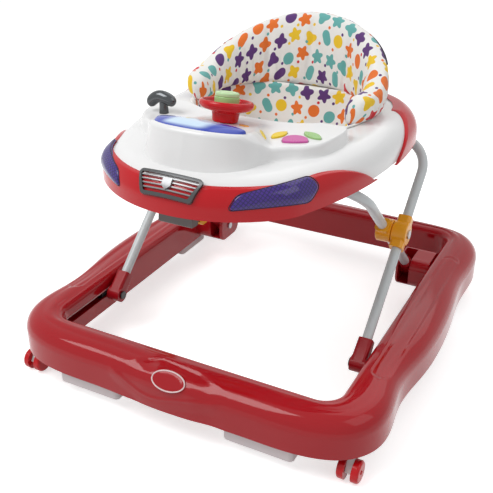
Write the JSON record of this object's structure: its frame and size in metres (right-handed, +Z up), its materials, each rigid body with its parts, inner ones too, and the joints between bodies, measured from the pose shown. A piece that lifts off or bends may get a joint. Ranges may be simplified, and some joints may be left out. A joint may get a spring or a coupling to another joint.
{
  "type": "baby walker",
  "caption": "Folding baby walker with a ring base on swivel casters, crossed tube legs, a car-nosed play tray with steering wheel, lever and buttons, and a padded seat.",
  "frame": {"origin": "on the floor, at the centre of the overall box", "axes": "+Z up, -Y towards the nose with the headlights, +X towards the viewer's right when facing the nose"},
  "size_m": [0.6342, 0.705, 0.522],
  "materials": {
    "base_red": "glossy moulded plastic",
    "pad_grey": "matt rubber",
    "bush_black": "matt plastic",
    "caster_white": "satin plastic",
    "caster_red": "glossy plastic",
    "tube_grey": "powder-coated steel tube",
    "pin_steel": "plain steel",
    "foot_red": "satin plastic",
    "amber": "translucent amber plastic",
    "deck_white": "glossy moulded plastic",
    "bumper_red": "glossy moulded plastic",
    "lens_violet": "glossy tinted plastic",
    "grille_chrome": "plated plastic",
    "grille_dark": "glossy plastic",
    "rail_white": "satin plastic",
    "grip_grey": "satin plastic",
    "screen_blue": "glossy tinted plastic",
    "wheel_red": "glossy plastic",
    "horn_green": "glossy plastic",
    "lever_grey": "dark plated plastic",
    "button_yellow": "glossy plastic",
    "button_pink": "glossy plastic",
    "button_green": "glossy plastic",
    "board_green": "circuit board",
    "speaker_black": "matt",
    "cell_grey": "printed steel can, unmarked",
    "print_fabric": "printed woven fabric over padding",
    "sling_fabric": "printed woven fabric",
    "board_white": "stiffening board"
  },
  "bodies": {
    "base": {"base_shell": "base_red", "brake_pads": "pad_grey", "caster_bushes": "bush_black", "foot_track_left": "foot_red", "foot_track_right": "foot_red", "rear_sockets": "base_red", "rear_pivot_pins": "pin_steel"},
    "fork_front_left": {"caster_fork_front_left": "caster_white"},
    "fork_front_right": {"caster_fork_front_right": "caster_white"},
    "fork_rear_left": {"caster_fork_rear_left": "caster_white"},
    "fork_rear_right": {"caster_fork_rear_right": "caster_white"},
    "wheels_front_left": {"caster_wheels_front_left": "caster_red"},
    "wheels_front_right": {"caster_wheels_front_right": "caster_red"},
    "wheels_rear_left": {"caster_wheels_rear_left": "caster_red"},
    "wheels_rear_right": {"caster_wheels_rear_right": "caster_red"},
    "rear_legs": {"rear_leg_frame": "tube_grey", "rear_feet": "foot_red", "inner_brackets": "amber"},
    "front_legs": {"front_leg_frame": "tube_grey", "front_feet": "foot_red", "outer_brackets": "amber", "cross_pins": "pin_steel"},
    "slider_left": {"foot_slider_left": "bush_black"},
    "slider_right": {"foot_slider_right": "bush_black"},
    "glides": {"crossbar_glides": "rail_white"},
    "tray": {"tray_deck": "deck_white", "front_bumper": "bumper_red", "rear_bumper": "bumper_red", "headlight_left": "lens_violet", "headlight_right": "lens_violet", "grille_frame": "grille_chrome", "grille_bars": "grille_dark", "grille_shield": "grille_chrome", "glide_rails": "rail_white", "hinge_clamps": "rail_white", "release_bracket": "amber", "dash_shell": "deck_white", "dash_windscreen": "screen_blue", "sound_board": "board_green", "speaker": "speaker_black", "battery_pack": "cell_grey", "seat_back": "print_fabric", "seat_sling": "sling_fabric", "seat_board": "board_white"},
    "release": {"release_grip": "grip_grey"},
    "wheel": {"steering_wheel": "wheel_red"},
    "horn": {"horn_button": "horn_green"},
    "lever": {"gear_lever": "lever_grey"},
    "yellow": {"button_yellow": "button_yellow"},
    "pink": {"button_pink": "button_pink"},
    "green": {"button_green": "button_green"}
  },
  "joints": [
    {"name": "fold", "type": "hinge", "parent": "base", "child": "rear_legs", "pos_m": [0, 0.189, 0.075], "axis": [1, 0, 0], "range_deg": [0, 30]},
    {"name": "leg_cross", "type": "hinge", "parent": "rear_legs", "child": "front_legs", "pos_m": [0, 0.02198, 0.22502], "axis": [1, 0, 0], "range_deg": [-60, 0]},
    {"name": "tray_hinge", "type": "hinge", "parent": "front_legs", "child": "tray", "pos_m": [0, 0.1495, 0.33955], "axis": [1, 0, 0], "range_deg": [0, 30]},
    {"name": "front_foot_left", "type": "hinge", "parent": "front_legs", "child": "slider_left", "pos_m": [-0.2265, -0.14504, 0.075], "axis": [1, 0, 0], "range_deg": [0, 30]},
    {"name": "front_foot_right", "type": "hinge", "parent": "front_legs", "child": "slider_right", "pos_m": [0.2265, -0.14504, 0.075], "axis": [1, 0, 0], "range_deg": [0, 30]},
    {"name": "crossbar_glide", "type": "hinge", "parent": "rear_legs", "child": "glides", "pos_m": [0, -0.10553, 0.33955], "axis": [1, 0, 0], "range_deg": [-30, 0]},
    {"name": "swivel_front_left", "type": "hinge", "parent": "base", "child": "fork_front_left", "pos_m": [-0.278, -0.292, 0.044], "axis": [0, 0, 1], "continuous": true},
    {"name": "roll_front_left", "type": "hinge", "parent": "fork_front_left", "child": "wheels_front_left", "pos_m": [-0.278, -0.304, 0.017], "axis": [1, 0, 0], "continuous": true},
    {"name": "swivel_front_right", "type": "hinge", "parent": "base", "child": "fork_front_right", "pos_m": [0.278, -0.292, 0.044], "axis": [0, 0, 1], "continuous": true},
    {"name": "roll_front_right", "type": "hinge", "parent": "fork_front_right", "child": "wheels_front_right", "pos_m": [0.278, -0.304, 0.017], "axis": [1, 0, 0], "continuous": true},
    {"name": "swivel_rear_left", "type": "hinge", "parent": "base", "child": "fork_rear_left", "pos_m": [-0.278, 0.296, 0.044], "axis": [0, 0, 1], "continuous": true},
    {"name": "roll_rear_left", "type": "hinge", "parent": "fork_rear_left", "child": "wheels_rear_left", "pos_m": [-0.278, 0.284, 0.017], "axis": [1, 0, 0], "continuous": true},
    {"name": "swivel_rear_right", "type": "hinge", "parent": "base", "child": "fork_rear_right", "pos_m": [0.278, 0.296, 0.044], "axis": [0, 0, 1], "continuous": true},
    {"name": "roll_rear_right", "type": "hinge", "parent": "fork_rear_right", "child": "wheels_rear_right", "pos_m": [0.278, 0.284, 0.017], "axis": [1, 0, 0], "continuous": true},
    {"name": "steer", "type": "hinge", "parent": "tray", "child": "wheel", "pos_m": [0, -0.15034, 0.42727], "axis": [0, 0.213, 0.977], "range_deg": [-90, 90]},
    {"name": "horn_press", "type": "slide", "parent": "wheel", "child": "horn", "axis": [0, -0.213, -0.977], "range_m": [0, 0.004], "stiffness_N_per_m": 400, "springref_m": -0.003},
    {"name": "gear_shift", "type": "hinge", "parent": "tray", "child": "lever", "pos_m": [-0.117, -0.131, 0.42], "axis": [1, 0, 0], "range_deg": [-20, 20]},
    {"name": "release_lift", "type": "hinge", "parent": "tray", "child": "release", "pos_m": [0, -0.248, 0.332], "axis": [1, 0, 0], "range_deg": [-12, 0], "stiffness_Nm_per_rad": 1, "springref_deg": 11.46},
    {"name": "press_yellow", "type": "slide", "parent": "tray", "child": "yellow", "axis": [0, 0, -1], "range_m": [0, 0.0025], "stiffness_N_per_m": 400, "springref_m": -0.002},
    {"name": "press_pink", "type": "slide", "parent": "tray", "child": "pink", "axis": [0, 0, -1], "range_m": [0, 0.0025], "stiffness_N_per_m": 400, "springref_m": -0.002},
    {"name": "press_green", "type": "slide", "parent": "tray", "child": "green", "axis": [0, 0, -1], "range_m": [0, 0.0025], "stiffness_N_per_m": 400, "springref_m": -0.002}
  ],
  "couplings": [
    {"joint": "leg_cross", "follows": "fold", "ratio": -2},
    {"joint": "tray_hinge", "follows": "fold", "ratio": 1},
    {"joint": "front_foot_left", "follows": "fold", "ratio": 1},
    {"joint": "front_foot_right", "follows": "fold", "ratio": 1},
    {"joint": "crossbar_glide", "follows": "fold", "ratio": -1}
  ]
}
